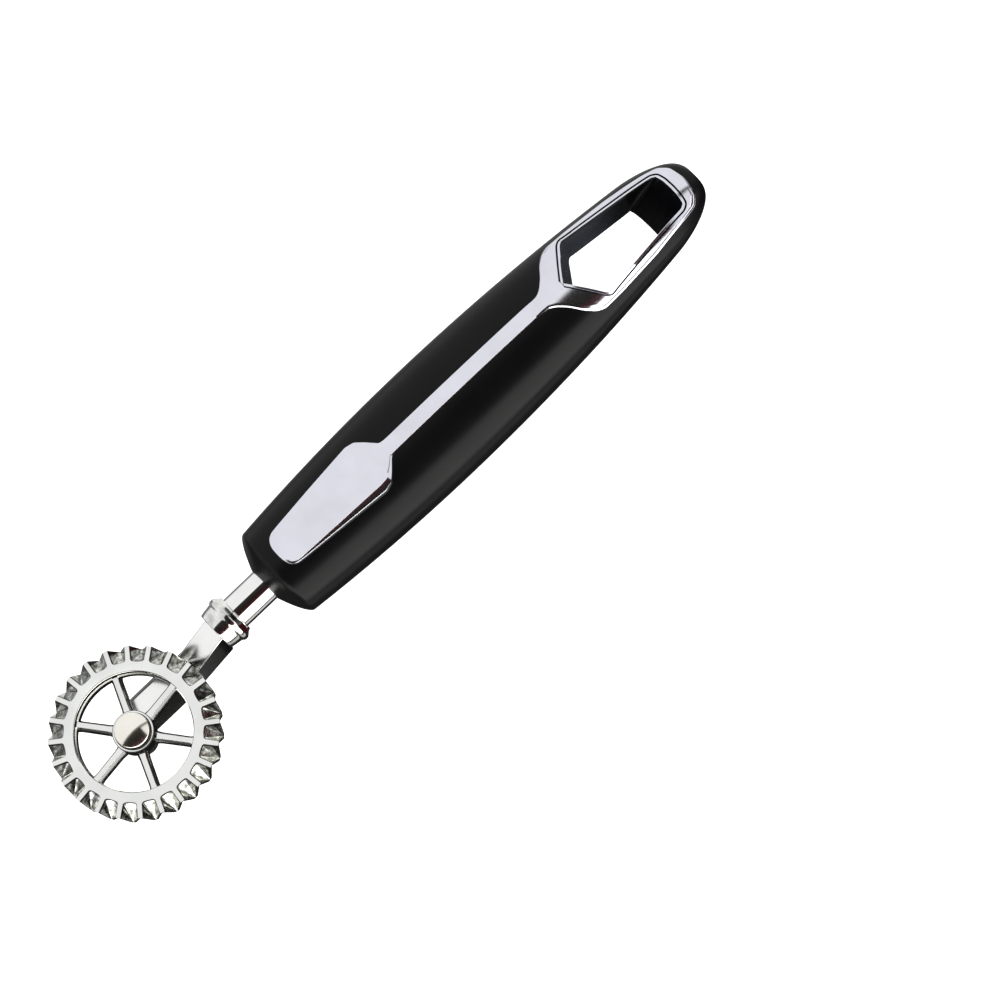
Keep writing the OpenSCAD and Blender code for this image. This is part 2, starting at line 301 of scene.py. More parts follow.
def soft_touch(name):
    mat, nodes, links, shader, coords = material(name)
    tone = noise_node(nodes, links, coords, 60, 3)
    links.new(ramp_node(nodes, links, tone, (0.0030, 0.0030, 0.0036), (0.0046, 0.0045, 0.0050)),
              shader.inputs["Base Color"])
    grain = noise_node(nodes, links, coords, 5200, 2)
    rub = noise_node(nodes, links, coords, 90, 4)
    links.new(range_node(nodes, links, rub, 0.27, 0.32), shader.inputs["Roughness"])
    shader.inputs["Specular IOR Level"].default_value = 0.15
    bump_node(nodes, links, shader, [(rub, 0.03, 0.15), (grain, 0.10, 0.03)])
    return mat


def gloss_black_painted_shade(name):
    mat, nodes, links, shader, coords = material(name)
    tone = noise_node(nodes, links, coords, 120, 2)
    near = ramp_node(nodes, links, tone, (0.036, 0.041, 0.052), (0.050, 0.056, 0.070))
    # painted shade: the black runs from a blue-grey tone at the near end of the hole to near black at its far
    # end, over x 70 to 84 mm
    split = nodes.new("ShaderNodeSeparateXYZ")
    links.new(coords, split.inputs[0])
    fade = nodes.new("ShaderNodeMapRange")
    fade.interpolation_type = "SMOOTHSTEP"
    fade.inputs["From Min"].default_value = 0.070
    fade.inputs["From Max"].default_value = 0.084
    links.new(split.outputs["X"], fade.inputs["Value"])
    mix = nodes.new("ShaderNodeMix")
    mix.data_type = "RGBA"
    links.new(fade.outputs["Result"], mix.inputs["Factor"])
    links.new(near, mix.inputs["A"])
    mix.inputs["B"].default_value = (0.0012, 0.0012, 0.0016, 1)
    links.new(mix.outputs["Result"], shader.inputs["Base Color"])
    scuff = noise_node(nodes, links, coords, 1500, 3)
    links.new(range_node(nodes, links, scuff, 0.16, 0.24), shader.inputs["Roughness"])
    shader.inputs["Specular IOR Level"].default_value = 0.3
    bump_node(nodes, links, shader, [(scuff, 0.02, 0.05)])
    return mat


def moulded(name):
    mat, nodes, links, shader, coords = material(name)
    tone = noise_node(nodes, links, coords, 80, 3)
    colour = ramp_node(nodes, links, tone, (0.02, 0.02, 0.022), (0.03, 0.03, 0.032))
    links.new(colour, shader.inputs["Base Color"])
    spark = noise_node(nodes, links, coords, 2500, 3)
    links.new(range_node(nodes, links, spark, 0.45, 0.6), shader.inputs["Roughness"])
    bump_node(nodes, links, shader, [(spark, 0.1, 0.05)])
    return mat


TRIM_MAT = chrome("trim_plate", (0.74, 0.745, 0.80), (0.80, 0.805, 0.87), rough=(0.10, 0.18), grain=0.05)
WHEEL_MAT = chrome("wheel_plate", (0.82, 0.83, 0.80), (0.90, 0.91, 0.88), rough=(0.08, 0.16), wave=0.03)
# a darker, mottled chrome, used only on the floors of the notches
NOTCH_MAT = chrome("notch_floor_mottle", (0.14, 0.145, 0.13), (0.88, 0.89, 0.85), rough=(0.10, 0.22), wave=0.35,
                   patch=900)
# painted shade: a near-black chrome laid on the wheel's faces that stand in shade, the notches' steep edges,
# a band inside the rim, the spokes' sides and the hub's wall
PAINTED_SHADE_MAT = chrome("painted_shade_chrome", (0.03, 0.028, 0.026), (0.10, 0.095, 0.09), rough=(0.2, 0.35), patch=600)
ARM_MAT = chrome("arm_plate", (0.90, 0.90, 0.89), (0.96, 0.96, 0.95), rough=(0.06, 0.12))
# the arm's front gets a lighter chrome as painted light, with a satin finish from its higher roughness, and
# its flanks get a near-black chrome as painted shade
SATIN_AND_LIGHT_MAT = chrome("arm_front_painted_light", (0.94, 0.94, 0.92), (0.99, 0.99, 0.97), rough=(0.17, 0.21), grain=0.002)
FLANK_SHADE_MAT = chrome("arm_flank_painted_shade", (0.03, 0.03, 0.029), (0.07, 0.07, 0.067), rough=(0.14, 0.22))
COLLAR_MAT = chrome("collar_plate", (0.58, 0.59, 0.55), (0.96, 0.96, 0.93), rough=(0.06, 0.16), wave=0.30,
                    patch=420)
ROD_MAT = chrome("rod_plate", (0.88, 0.88, 0.86), (0.94, 0.94, 0.92), rough=(0.03, 0.07),
                 stretch=(0.05, 1, 1))
RIVET_MAT = chrome("rivet_plate", (0.92, 0.89, 0.80), (0.97, 0.94, 0.86), rough=(0.12, 0.18))
WASHER_MAT = chrome("washer_steel", (0.50, 0.50, 0.49), (0.62, 0.62, 0.60), rough=(0.22, 0.34), grain=0.05)
PIN_MAT = chrome("pin_steel", (0.45, 0.45, 0.44), (0.56, 0.56, 0.54), rough=(0.2, 0.3), grain=0.05)
GRIP_MAT = soft_touch("soft_touch_black")
LINER_BLACK_AND_SHADE_MAT = gloss_black_painted_shade("gloss_black_painted_shade")
CORE_MAT = moulded("moulded_core")
for node, mat in (("core_front", CORE_MAT), ("core_back", CORE_MAT), ("tang_pins", PIN_MAT)):
    mesh = frame["nodes"][node].data
    mesh.materials.clear()
    mesh.materials.append(mat)


# ---------------------------------------------------------------- outlines of the trim, from the grip's axis
RISE_PLATE = 0.95       # height of the trim over the grip, at the plate's step
RISE_BAR = 0.35         # and along the bar
PLATE_RAMP = (-40, 0.6)     # x over which the plate rises to its step
PLATE_FALL = (0.6, 7)       # and falls again to the bar
LOOP_BEND = (50, 58)        # x over which the flat top starts to follow the grip's roundness
LOOP_COLUMN = (50, 56)      # and over which the plate's side turns into the loop's
APEX = (53, 60.49)      # least x of the outer and inner points that have the hole beside them
SIDE_SLOPE = math.tan(math.radians(18))     # fall of the plate's sloping side
BEAD = 0.13             # width of the steep lip along the plate's foot
ACROSS = 7              # faces across the trim's top
PLATE_END_X = -25.4
PLATE_END_R = (3.1, 4.5)
# (outer point, inner point, flare of the side) of one half, from the plate's end to the far end of the loop
PLATE_END = [((PLATE_END_X - PLATE_END_R[0] * math.cos(math.radians(a)) ** 0.9,
               PLATE_END_R[1] * math.sin(math.radians(a)) ** 0.8), (PLATE_END_X, 0), 0.4)
             for a in (0, 15, 30, 45, 60, 75, 89)]
TRIM_HALF = PLATE_END + [
    ((-25, 4.52), (-25, 0), 0.45), ((-13.4, 5.05), (-13.4, 0), 1), ((-1, 5.5), (-1, 0), 1.6),
    ((1.2, 5.3), (1.2, 0), 1.2), ((2.9, 4.1), (2.9, 0), 0.7), ((5.2, 1.85), (5.2, 0), 0.3),
    ((6.8, 1.7), (6.8, 0), 0.25), ((52.6, 1.7), (52.6, 0), 0.25), ((54, 1.85), (60.5, 0), 0.4),
    ((55.5, 2.7), (61.4, 1.25), 0.4), ((57.6, 4.7), (62.8, 3.2), 0.4), ((59.6, 7.35), (64.7, 5.8), 0.4),
    ((61.8, 9.25), (66.1, 7.75), 0.4), ((63.6, 9.9), (66.9, 8.3), 0.4), ((69, 9.7), (69, 7.98), 0.35),
    ((80.6, 8.7), (80.6, 6.5), 0.35), ((91, 7.1), (91.9, 5.1), 0.3), ((94.6, 6.25), (93, 4.4), 0.3),
    ((96.5, 4.3), (93.4, 2.6), 0.3), ((97.3, 0), (93.5, 0), 0.3)]
STEP = 0.4
BLURS = 3               # rounds of softening; all but the first keep to the loop
BLUR_X = 50


def flip(v):
    return Vector((v.x, -v.y))


def trim_pairs():
    """The half outline cut into short steps and softened at its corners."""
    pairs = []
    for (o, i, f), (o2, i2, f2) in zip(TRIM_HALF, TRIM_HALF[1:]):
        o, i, o2, i2 = Vector(o), Vector(i), Vector(o2), Vector(i2)
        n = max(1, round(max((o2 - o).length, (i2 - i).length) / STEP))
        pairs += [(o.lerp(o2, k / n), i.lerp(i2, k / n), f + (f2 - f) * k / n) for k in range(n)]
    last = TRIM_HALF[-1]
    pairs.append((Vector(last[0]), Vector(last[1]), last[2]))
    for turn in range(BLURS):
        before = [(flip(pairs[1][0]), flip(pairs[1][1]), pairs[1][2])]
        after = [(flip(pairs[-2][0]), flip(pairs[-2][1]), pairs[-2][2])]
        row = before + pairs + after
        soft = []
        for a, b, c in zip(row, row[1:], row[2:]):
            if turn and b[0].x < BLUR_X:
                soft.append(b)
                continue
            inner = (a[1] + 2 * b[1] + c[1]) / 4
            if b[1].y == 0:
                inner.y = 0
                inner.x = b[1].x
            soft.append(((a[0] + 2 * b[0] + c[0]) / 4, inner, (a[2] + 2 * b[2] + c[2]) / 4))
        pairs = soft
    return pairs


def both_halves(pairs):
    return pairs + [(flip(o), flip(i), f) for o, i, f in pairs[-2:0:-1]]


def normals(points):
    """Outward normals of a closed outline that runs through +y towards +x."""
    n = len(points)
    out = []
    for k in range(n):
        d = points[(k + 1) % n] - points[k - 1]
        out.append(Vector((-d.y, d.x)).normalized() if d.length > 1e-9 else Vector((0, 0)))
    return out


def top_z(x, y):
    """Top of the trim over the middle plane."""
    lift = RISE_BAR + (RISE_PLATE - RISE_BAR) * smoothstep(x, *PLATE_RAMP) * (1 - smoothstep(x, *PLATE_FALL))
    flat = rise(x, 0) + lift
    bent = rise(x, y) + lift
    return flat + (bent - flat) * smoothstep(x, *LOOP_BEND)


def by_hole(outer, inner):
    return outer.x > APEX[0] and inner.x > APEX[1]


def hole_line(g):
    """Closed outline of the hanging hole, grown by g, from the near apex round through +y."""
    ring = both_halves([p for p in trim_pairs() if by_hole(p[0], p[1])])
    pts = [p[1] for p in ring]
    return [p + n * g for p, n in zip(pts, normals(pts))]


# (share of the way back to the hole's edge, depth) of the groove and the lip between it and the hole
GROOVE = [(0.97, 0.06), (0.95, 0.25), (0.93, 0.95), (0.66, 0.95), (0.64, 0.3), (0.56, 0.2), (0.12, 0.2),
          (0, 0.3), (0, 1.5)]
# painted shade: the first faces of the groove take the liner's near-black gloss in place of chrome
GROOVE_SHADED_FACES = 3        # how many faces of the groove are dark


def arrow_trim():
    """Plate and bar with sloping sides and a steep lip, then the loop with a groove round the hole."""
    ring = both_halves(trim_pairs())
    outers = [p[0] for p in ring]
    inners = [p[1] for p in ring]
    flares = [p[2] for p in ring]
    verts = []
    for o, i, flare, out, back in zip(outers, inners, flares, normals(outers), normals(inners)):
        loop = by_hole(o, i)
        back = back if loop else Vector((0, 0))
        blend = smoothstep(o.x, *LOOP_COLUMN)
        away = Vector((min(0, out.x), math.copysign(1, o.y) if abs(o.y) > 0.01 else 0))
        skirt = o + away * flare
        foot = rise(skirt.x, skirt.y)
        top = top_z(o.x, o.y)
        bead = BEAD * (1 - smoothstep(o.x, 1, 5))
        lip = top - 0.06 - (flare - bead) * SIDE_SLOPE
        plate = [(skirt, foot - 0.9), (skirt, lip - 0.26), (skirt - away * 0.02, lip - 0.2),
                 (skirt - away * bead, lip), (o, top - 0.05), (o - out * 0.07, top)]
        hoop = [(o + out * 0.3, foot - 0.9), (o + out * 0.22, rise(o.x, o.y) - 0.1),
                (o + out * 0.1, top - 0.34),
                (o, top - 0.16), (o - out * 0.12, top - 0.05), (o - out * 0.3, top)]
        column = [(a[0].lerp(b[0], blend), a[1] + (b[1] - a[1]) * blend) for a, b in zip(plate, hoop)]
        edge = column[-1][0]
        rim = i + back
        for k in range(1, ACROSS + 1):
            p = edge.lerp(rim, k / ACROSS)
            column.append((p, top_z(p.x, p.y)))
        for g, drop in GROOVE:
            p = i + back * g
            column.append((p, top_z(p.x, p.y) - (drop if loop else 0)))
        column.append(column[-1] if loop else (i, rise(i.x, 0) - 0.9))
        verts += [(p.x, SIDE + p.y, MID_Z + z) for p, z in column]
    c = len(column)
    n = len(ring)
    first = c - len(GROOVE)
    faces, tints = [], []
    for j in range(n):
        nxt = (j + 1) % n
        faces += [(j * c + k, nxt * c + k, nxt * c + k + 1, j * c + k + 1) for k in range(c - 2)]
        tints += [int(first <= k < first + GROOVE_SHADED_FACES) for k in range(c - 2)]
    faces += [(j * c + c - 1, ((j + 1) % n) * c + c - 1, ((j + 1) % n) * c, j * c) for j in range(n)]
    tints += [0] * n
    return make("arrow_trim_plate", verts, faces, TOOL, ["arrow_trim"], "trim_chrome", [TRIM_MAT, LINER_BLACK_AND_SHADE_MAT],
                sharp=32, merge=0.01, tints=tints)


HOLE_IN_GRIP = 1.4      # how far the hole in the grip is cut outside the hole in the trim


def grip_cover():
    """The soft cover, lofted from superellipses along the tool and then cut through by the hanging hole."""
    around = 160
    xs = [GRIP_X0 + (CORNER_X - GRIP_X0) * (k / 12) for k in range(12)]
    xs += [CORNER_X + (TIP_X - CORNER_X) * k / 150 for k in range(151)]
    xs += [TIP_X + (GRIP_X1 - TIP_X) * math.sin(k / 40 * math.pi / 2) for k in range(1, 40)]
    verts = []
    for x in xs:
        for k in range(around):
            a = k * math.tau / around
            c, s = math.cos(a), math.sin(a)
            y = math.copysign(abs(c) ** (2 / ROUND_N), c) * half_w(x)
            z = math.copysign(abs(s) ** (2 / ROUND_N), s) * half_d(x)
            verts.append((x, SIDE + y, MID_Z + z))
    m = len(xs)
    faces = []
    for i in range(m - 1):
        row, nxt = i * around, (i + 1) * around
        faces += [(row + k, row + (k + 1) % around, nxt + (k + 1) % around, nxt + k) for k in range(around)]
    faces += [tuple(range(around)), tuple((m - 1) * around + k for k in range(around))]
    obj = make("grip_soft_cover", verts, faces, TOOL, ["grip_cover"], "grip_soft", [GRIP_MAT], sharp=50)
    cutter = prism("hole_cutter", hole_line(HOLE_IN_GRIP), -5, GRIP_T + 5)
    cut(obj, cutter)
    return obj


def prism(name, outline, low, high):
    """An upright block with the given outline, for cutting."""
    n = len(outline)
    verts = [(p.x, SIDE + p.y, z) for z in (low, high) for p in outline]
    faces = [tuple(range(n)), tuple(range(n, 2 * n))]
    faces += [(k, (k + 1) % n, n + (k + 1) % n, n + k) for k in range(n)]
    return make(name, verts, faces, TOOL)


def cut(obj, cutter):
    """Takes the cutter out of the object for good, and removes the cutter."""
    mod = obj.modifiers.new("cut", "BOOLEAN")
    mod.operation = "DIFFERENCE"
    mod.solver = "EXACT"
    mod.object = cutter
    bpy.context.view_layer.update()
    result = bpy.data.meshes.new_from_object(obj.evaluated_get(bpy.context.evaluated_depsgraph_get()))
    obj.modifiers.clear()
    obj.data = result
    bpy.data.objects.remove(cutter, do_unlink=True)
    bm = bmesh.new()
    bm.from_mesh(result)
    for e in bm.edges:
        if len(e.link_faces) == 2:
            e.smooth = e.calc_face_angle(0) < math.radians(50)
    bm.to_mesh(result)
    bm.free()


LINER_IN = 0.06         # the liner's wall stands this far outside the trim's edge
LINER_OUT = 1.37
FAR_WALL = (86, 93.5)   # x over which the side walls turn into the far wall
FAR_LEAN = 8.6          # how far the far wall comes in at the back
FAR_SPREAD = 0.22       # how much wider it gets there, as a share


def lean(p, t):
    """A point of the hole's outline, at depth t from the front (0) to the back (1)."""
    far = smoothstep(p.x, *FAR_WALL)
    return Vector((p.x - far * t * FAR_LEAN, p.y * (1 + FAR_SPREAD * far * t)))


def hang_liner():
    """Gloss liner: the hole's wall, with a far wall that slopes in towards the back."""
    inner = hole_line(LINER_IN)
    outer = hole_line(LINER_OUT)
    steps = 14
    rings = []
    for k in range(steps + 1):
        t = k / steps
        row = []
        for p in inner:
            q = lean(p, t)
            z = (top_z(p.x, p.y) - 1.0) * (1 - t) + (0.35 - rise(q.x, q.y)) * t
            row.append((q, z))
        rings.append(row)
    lips = [lean(p, 1) for p in hole_line(0.22)]
    rings.append([(q, 0.15 - rise(q.x, q.y)) for q in lips])
    rings.append([(p, 0.12 - rise(p.x, p.y)) for p in hole_line(1.2)])
    rings.append([(p, 0.25 - rise(p.x, p.y)) for p in outer])
    rings.append([(p, top_z(p.x, p.y) - 1.6) for p in outer])
    n = len(inner)
    verts = [(p.x, SIDE + p.y, MID_Z + z) for row in rings for p, z in row]
    m = len(rings)
    faces = []
    for i in range(m):
        row, nxt = i * n, (i + 1) % m * n
        faces += [(row + k, row + (k + 1) % n, nxt + (k + 1) % n, nxt + k) for k in range(n)]
    return make("hang_hole_liner", verts, faces, TOOL, ["hang_liner"], "liner_gloss", [LINER_BLACK_AND_SHADE_MAT], sharp=40)


# ---------------------------------------------------------------- wheel, axle, arm and rod
TEETH = 24
SPOKES = 6
RIM_H = 2.5             # half the rim's thickness
RIM_IN = 13.9
PITCH = 360 / TEETH
NOTCH = PITCH * 0.4     # half the angle of a notch
# (radius, share of NOTCH) round the inner end of a notch
ROOTS = [(16.7, -0.93), (16.35, -0.74), (16.2, -0.25), (16.2, 0.25), (16.35, 0.74), (16.7, 0.93)]
LEDGE_H = 0.6           # depth of the steep edge of a notch
LEDGE_IN = 0.16         # how far that edge leans in at the root
LEDGE_SHARE = 0.86      # and at the sides
TIP_H = RIM_H - 0.35    # depth of a notch's deepest point below the middle
EDGE_R = 0.35           # rounding of the rim's inner edge
BAND = 0.3              # how far the band inside the rim stands out from it
# (radius, depth) down the inside of the rim, from its face to the middle, and which of the faces get the dark
# chrome as painted shade
INNER_EDGE = [(RIM_IN + EDGE_R * (1 - math.sin(t * math.pi / 12)), EDGE_R * (1 - math.cos(t * math.pi / 12)))
              for t in range(7)]
INNER_EDGE += [(RIM_IN, 1.25), (RIM_IN - BAND, 1.55), (RIM_IN - BAND, RIM_H)]
INNER_PAINTED_SHADE = (5, 6, 7, 9)

HUB_R = 4.9
BORE_R = 2.05
SPOKE_SECTION = [(-1.2, -1.3), (1.2, -1.3), (1.2, 0.1), (0.95, 0.15),
                 (0.62, 1.4), (-0.62, 1.4), (-0.95, 0.15), (-1.2, 0.1)]
# (radius, share of the section's width) from the hub to the rim
SPOKE_STATIONS = [(4.4, 1.22), (6.2, 1.0), (12.6, 0.96), (13.4, 1.05), (RIM_IN + 0.3, 1.3)]


def polar(r, degrees, z):
    a = math.radians(degrees)
    return AXLE.x + r * math.cos(a), AXLE.y + r * math.sin(a), AXLE.z + z


def rim_mesh():
    """Rim with notches cut from both faces, half a pitch apart, so that a zigzag ridge is left between them.

    Material 1 puts painted shade, a dark chrome, on the steep edges and on a band inside the rim; 2 is for
    the floors of the notches.
    """
    verts, faces, tints = [], [], []

    def vert(r, a, z):
        verts.append(polar(r, a, z))
        return len(verts) - 1

    def add(new, tint=0):
        faces.extend(new)
        tints.extend([tint] * len(new))

    def quads(upper, lower):
        return list(zip(upper, upper[1:], lower[1:], lower))

    angles = [f * NOTCH for _, f in ROOTS] + [PITCH + ROOTS[0][1] * NOTCH]
    for side in (1, -1):
        h = side * RIM_H
        ledge_z = h - side * LEDGE_H
        for k in range(TEETH):
            c = k * PITCH + (0 if side > 0 else PITCH / 2)
            root = [vert(r, c + f * NOTCH, h) for r, f in ROOTS]
            next_root = vert(ROOTS[0][0], c + angles[-1], h)
            left, right, next_left = (vert(WHEEL_R, c + a, h) for a in (-NOTCH, NOTCH, PITCH - NOTCH))
            tip = vert(WHEEL_R, c, -side * TIP_H)
            ledge = [(r + LEDGE_IN, f * NOTCH * LEDGE_SHARE) for r, f in ROOTS]
            ledge = [(WHEEL_R, -NOTCH * LEDGE_SHARE)] + ledge + [(WHEEL_R, NOTCH * LEDGE_SHARE)]
            ledge = [vert(r, c + a, ledge_z) for r, a in ledge]
            brink = [left] + root + [right]
            add(quads(brink, ledge), 1)
            add([(a, b, tip) for a, b in zip(ledge, ledge[1:])], 2)
            add([(root[-1], right, next_left, next_root)])
            rows = [root + [next_root]]
            rows += [[vert(r, c + a, h - side * drop) for a in angles] for r, drop in INNER_EDGE]
            for n, (upper, lower) in enumerate(zip(rows, rows[1:])):
                add(quads(upper, lower), int(n in INNER_PAINTED_SHADE))
            back_left, back_right = (vert(WHEEL_R, c + PITCH / 2 + a, -h) for a in (-NOTCH, NOTCH))
            back_tip = vert(WHEEL_R, c + PITCH / 2, side * TIP_H)
            if side > 0:
                next_tip = vert(WHEEL_R, c + PITCH, -side * TIP_H)
                add([(tip, right, back_tip, back_left), (next_tip, next_left, back_tip, back_right)], 2)
            add([(right, next_left, back_tip)])
    return verts, faces, tints


def spoke_mesh(angle):
    a = math.radians(angle)
    out, side = Vector((math.cos(a), math.sin(a), 0)), Vector((-math.sin(a), math.cos(a), 0))
    verts = []
    for r, k in SPOKE_STATIONS:
        verts += [tuple(AXLE + out * r + side * y * k + Vector((0, 0, z))) for y, z in SPOKE_SECTION]
    n = len(SPOKE_SECTION)
    last = len(SPOKE_STATIONS) - 1
    faces = [(i * n + k, i * n + (k + 1) % n, (i + 1) * n + (k + 1) % n, (i + 1) * n + k)
             for i in range(last) for k in range(n)]
    faces += [tuple(range(n)), tuple(last * n + k for k in range(n))]
    return verts, faces


def crimping_wheel():
    verts, faces, tints = rim_mesh()
    make("wheel_rim", verts, faces, WHEEL, ["crimping_wheel"], "wheel_chrome",
         [WHEEL_MAT, PAINTED_SHADE_MAT, NOTCH_MAT], sharp=12, tints=tints)

    verts, faces = joined([spoke_mesh(PITCH / 2 + k * 360 / SPOKES) for k in range(SPOKES)])
    heights = [[verts[i][2] - AXLE.z for i in f] for f in faces]
    # painted shade: the spokes' sides below the ridge get the dark chrome
    dark = [int(0 < max(z) < 0.16) for z in heights]      # the sides below the ridge
    spokes = make("wheel_spokes", verts, faces, WHEEL, ["crimping_wheel"], "wheel_chrome",
                  [WHEEL_MAT, PAINTED_SHADE_MAT], sharp=25, tints=dark)
    bevel(spokes, 0.07, 2)

    z = AXLE.z
    profile = [(z + 3, BORE_R), (z + 3, 4.38), (z + 3, HUB_R), (z - 1.2, 4.95), (z - 1.6, 4.3), (z - 3, 4),
               (z - 3, BORE_R), (z + 3, BORE_R)]
    verts, faces = ring_lathe(fillet(profile, 0.42, 6)[:-1], on_axle)
    radii = [[math.hypot(verts[i][0] - AXLE.x, verts[i][1] - AXLE.y) for i in f] for f in faces]
    # painted shade: the hub's outer wall and a ring round the dome get the dark chrome
    dark = [int(min(r) > 4.72 or max(r) < 4.4) for r in radii]     # the outer wall and a ring round the dome
    make("wheel_hub", verts, faces, WHEEL, ["crimping_wheel"], "wheel_chrome", [WHEEL_MAT, PAINTED_SHADE_MAT],
         sharp=30, tints=dark)


DOME_R = 4.15
DOME_BASE = 3.05        # height of the dome's foot over the wheel's middle
CAP_R = 7.8             # radius of curvature of the dome's flat top
BROW_R = 3.95           # where the top turns into the shoulder
RIVET_SHANK_R = 2.0
TAIL_H = 1.24


def dome_profile(base, top):
    turn = math.asin(BROW_R / CAP_R)
    dome = [(top - CAP_R + math.sqrt(CAP_R * CAP_R - r * r), r) for r in (BROW_R * k / 16 for k in range(17))]
    brow = dome[-1][0]
    shoulder = (DOME_R - BROW_R) / (1 - math.sin(turn))
    for k in range(1, 13):
        a = turn + (math.pi / 2 - turn) * k / 12
        dome.append((brow - shoulder * (math.cos(turn) - math.cos(a)),
                     BROW_R + shoulder * (math.sin(a) - math.sin(turn))))
    return dome + [(base + 0.1, DOME_R), (base, 4.1)]


def axle_parts():
    base = AXLE.z + DOME_BASE
    tail = rivet_low.z
    profile = dome_profile(base, rivet_high.z)
    profile += [(base, RIVET_SHANK_R), (tail + TAIL_H, RIVET_SHANK_R), (tail + TAIL_H, 2.88),
                (tail + 1.1, 2.9), (tail + 0.6, 2.86), (tail + 0.12, 2.3), (tail, 1.9), (tail, 0.0)]
    make("axle_rivet_turned", *lathe(profile, on_axle), TOOL, ["axle_rivet"], "rivet_steel",
         [RIVET_MAT], sharp=40)
    for name, node, inner in (("thrust_washer_ring", "thrust_washer", 2.05),
                              ("tail_washer_ring", "tail_washer", 2.02)):
        low, high = box_mm(node)
        outer = (high.x - low.x) / 2
        ring = [(low.z, inner), (low.z, outer - 0.1), (low.z + 0.1, outer), (high.z - 0.1, outer),
                (high.z, outer - 0.1), (high.z, inner)]
        make(name, *ring_lathe(ring, on_axle), TOOL, [node], "washer_steel", [WASHER_MAT], sharp=30)


ARM_FRONT_W = 3         # half width of the arm's front
ARM_T = 4.6             # thickness of its flat end
BOSS_R = 3.6


def wheel_arm():
    zb = arm_low.z
    zf = zb + ARM_T
    # x, front z, back z, half width at the back
    stations = [(-50.6, 13.7, 5.2, 4.1), (-51.6, 13.3, 5.0, 4.15), (-53, 12.5, 4.8, 4.2),
                (-59, 8.9, 3.7, 4.5), (-61.4, 7.9, 3.35, 4.6), (-63.5, zf, zb + 0.2, 4.8),
                (-67, zf, zb, 5), (-75, zf, zb, 5), (-77, zf, zb, 4.9)]
    verts = []
    for x, f, b, wb in stations:
        verts += [(x, SIDE - wb, b), (x, SIDE + wb, b)]
        verts += [(x, SIDE + ARM_FRONT_W, f), (x, SIDE - ARM_FRONT_W, f)]
    faces = [(i * 4 + k, i * 4 + (k + 1) % 4, i * 4 + 4 + (k + 1) % 4, i * 4 + 4 + k)
             for i in range(len(stations) - 1) for k in range(4)]
    # back plain, flanks near black as painted shade, front satin and lighter as painted light, ends plain
    tints = [(0, 2, 1, 2)[k % 4] for k in range(len(faces))] + [0, 0]
    faces += [(0, 1, 2, 3), tuple(len(verts) - 4 + k for k in range(4))]
    arm = make("wheel_arm_bar", verts, faces, TOOL, ["wheel_arm"], "arm_chrome",
               [ARM_MAT, SATIN_AND_LIGHT_MAT, FLANK_SHADE_MAT], sharp=30, tints=tints)
    bevel(arm, 0.3, 3)
    boss = fillet([(zf, 0), (zf, BOSS_R), (zb, BOSS_R), (zb, 0)], 0.4)
    make("wheel_arm_boss", *lathe(boss, on_axle), TOOL, ["wheel_arm"], "arm_chrome", [ARM_MAT], sharp=30)


def collar():
    profile = fillet([(-51, 3.3), (-51, 4.95), (-50.2, 5.15), (-47.9, 5.5), (-47.3, 6), (-46.4, 6),
                      (-45.2, 4.95), (-44.7, 4.85), (-44.7, 4.12), (-51, 4.12)], 0.3)
    make("collar_turned", *ring_lathe(profile, on_rod), TOOL, ["collar"], "collar_chrome",
         [COLLAR_MAT], sharp=30)


def shank_rod():
    grooves = []
    for k in range(3):
        x = -6 + 3.2 * k
        grooves += [(x, TANG_R), (x + 0.6, 2.7), (x + 1.2, TANG_R)]
    profile = [(rod_low.x, 0.0), (rod_low.x, ROD_R), (-21, ROD_R), (-20, TANG_R)] + grooves
    profile += [(14.2, TANG_R), (rod_high.x, 2.4), (rod_high.x, 0.0)]
    make("shank_rod_drawn", *lathe(profile, on_rod), TOOL, ["shank_rod"], "rod_chrome", [ROD_MAT], sharp=30)


arrow_trim()
grip_cover()
hang_liner()
crimping_wheel()
axle_parts()
wheel_arm()
collar()
shank_rod()


# ---------------------------------------------------------------- floor, light and camera
FLOOR_SIZE = 3000
FLOOR_Z = -0.05


def floor():
    corners = ((-1, -1), (1, -1), (1, 1), (-1, 1))
    verts = [(x * FLOOR_SIZE, y * FLOOR_SIZE, FLOOR_Z) for x, y in corners]
    mesh = bpy.data.meshes.new("floor")
    mesh.from_pydata([Vector(v) * MM for v in verts], [], [(0, 1, 2, 3)])
    obj = bpy.data.objects.new("floor", mesh)
    bpy.context.scene.collection.objects.link(obj)
    mat, _, _, shader, _ = material("pale_floor")
    shader.inputs["Base Color"].default_value = (0.9, 0.9, 0.9, 1)
    shader.inputs["Roughness"].default_value = 0.9
    shader.inputs["Specular IOR Level"].default_value = 0
    shader.inputs["Emission Color"].default_value = (1, 1, 1, 1)
    shader.inputs["Emission Strength"].default_value = 1
    mesh.materials.append(mat)
    obj.visible_glossy = False


def key_light():
    """A weak square light behind the tool; the surround does the rest."""
    data = bpy.data.lights.new("key", "AREA")
    data.shape = "RECTANGLE"
    data.size, data.size_y = 1, 1
    data.energy = 4
    obj = bpy.data.objects.new("key", data)
    obj.location = (-0.3, 0.9, 1.2)
    obj.rotation_euler = (-obj.location).to_track_quat("-Z", "Y").to_euler()
    bpy.context.scene.collection.objects.link(obj)
    obj.visible_glossy = False


